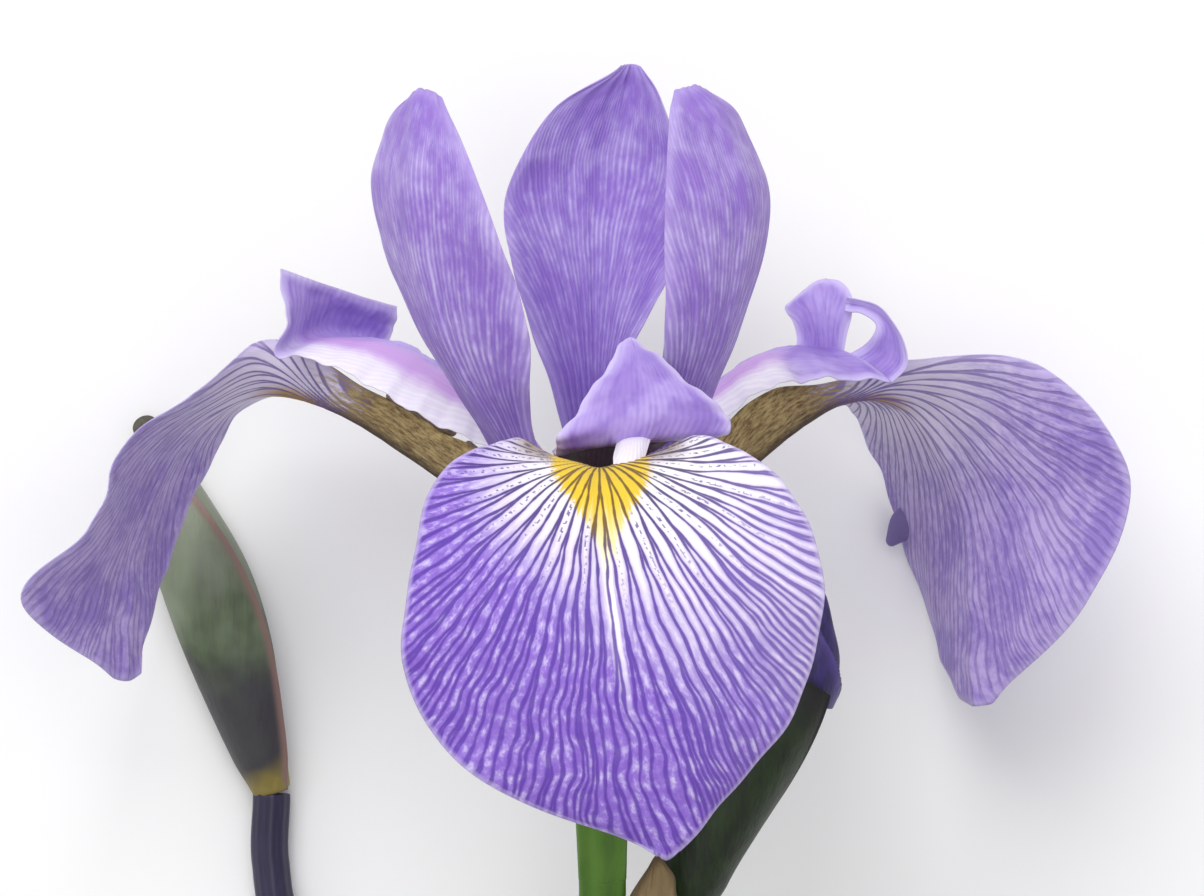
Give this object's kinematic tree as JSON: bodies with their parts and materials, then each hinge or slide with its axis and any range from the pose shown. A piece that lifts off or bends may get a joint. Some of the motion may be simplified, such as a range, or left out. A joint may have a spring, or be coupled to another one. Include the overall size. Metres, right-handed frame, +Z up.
{
  "type": "blue flag iris",
  "caption": "Picked blue flag iris lying on its back: veined violet falls, erect standards, crested style arms, buds in green spathes, and a cut stalk.",
  "frame": {"origin": "middle of the footprint, on the surface the flower lies on", "axes": "+Y from the cut end of the stalk to the tips of the standards, +Z up from the surface, which is also out of the flower through its front fall, +X to the right seen from above"},
  "size_m": [0.0959, 0.1256, 0.073],
  "materials": {
    "fall": "soft satin petal, violet with dark veins over white and a yellow signal",
    "standard": "soft satin petal, violet with darker veins",
    "style": "soft satin petal, pale lilac",
    "stamen": "matte, pale lilac",
    "anther": "powdery, cream to brown",
    "ovary": "waxy green",
    "stem": "waxy green",
    "purple_stem": "waxy dark purple",
    "bud_petal": "satin, dark violet",
    "dark_spathe": "waxy dark green",
    "green_spathe": "waxy green with tan and purple margins",
    "papery_spathe": "dry and papery, tan"
  },
  "bodies": {
    "root": {"fall_front": "fall", "fall_left": "fall", "fall_right": "fall", "standard_left": "standard", "standard_back": "standard", "standard_right": "standard", "style_front": "style", "style_left": "style", "style_right": "style", "filament_front": "stamen", "filament_left": "stamen", "filament_right": "stamen", "anther_front": "anther", "anther_left": "anther", "anther_right": "anther", "perianth_tube": "ovary", "ovary": "ovary", "pedicel": "ovary", "main_stem": "stem", "bud_right_petals": "bud_petal", "bud_right_spathe": "dark_spathe", "bud_right_valve": "dark_spathe", "branch_stem": "purple_stem", "bud_left_spathe": "green_spathe", "bud_left_valve": "green_spathe", "bud_left_tip": "bud_petal", "spathe_front": "papery_spathe", "spathe_back": "green_spathe", "branch_bract": "green_spathe"}
  },
  "joints": []
}
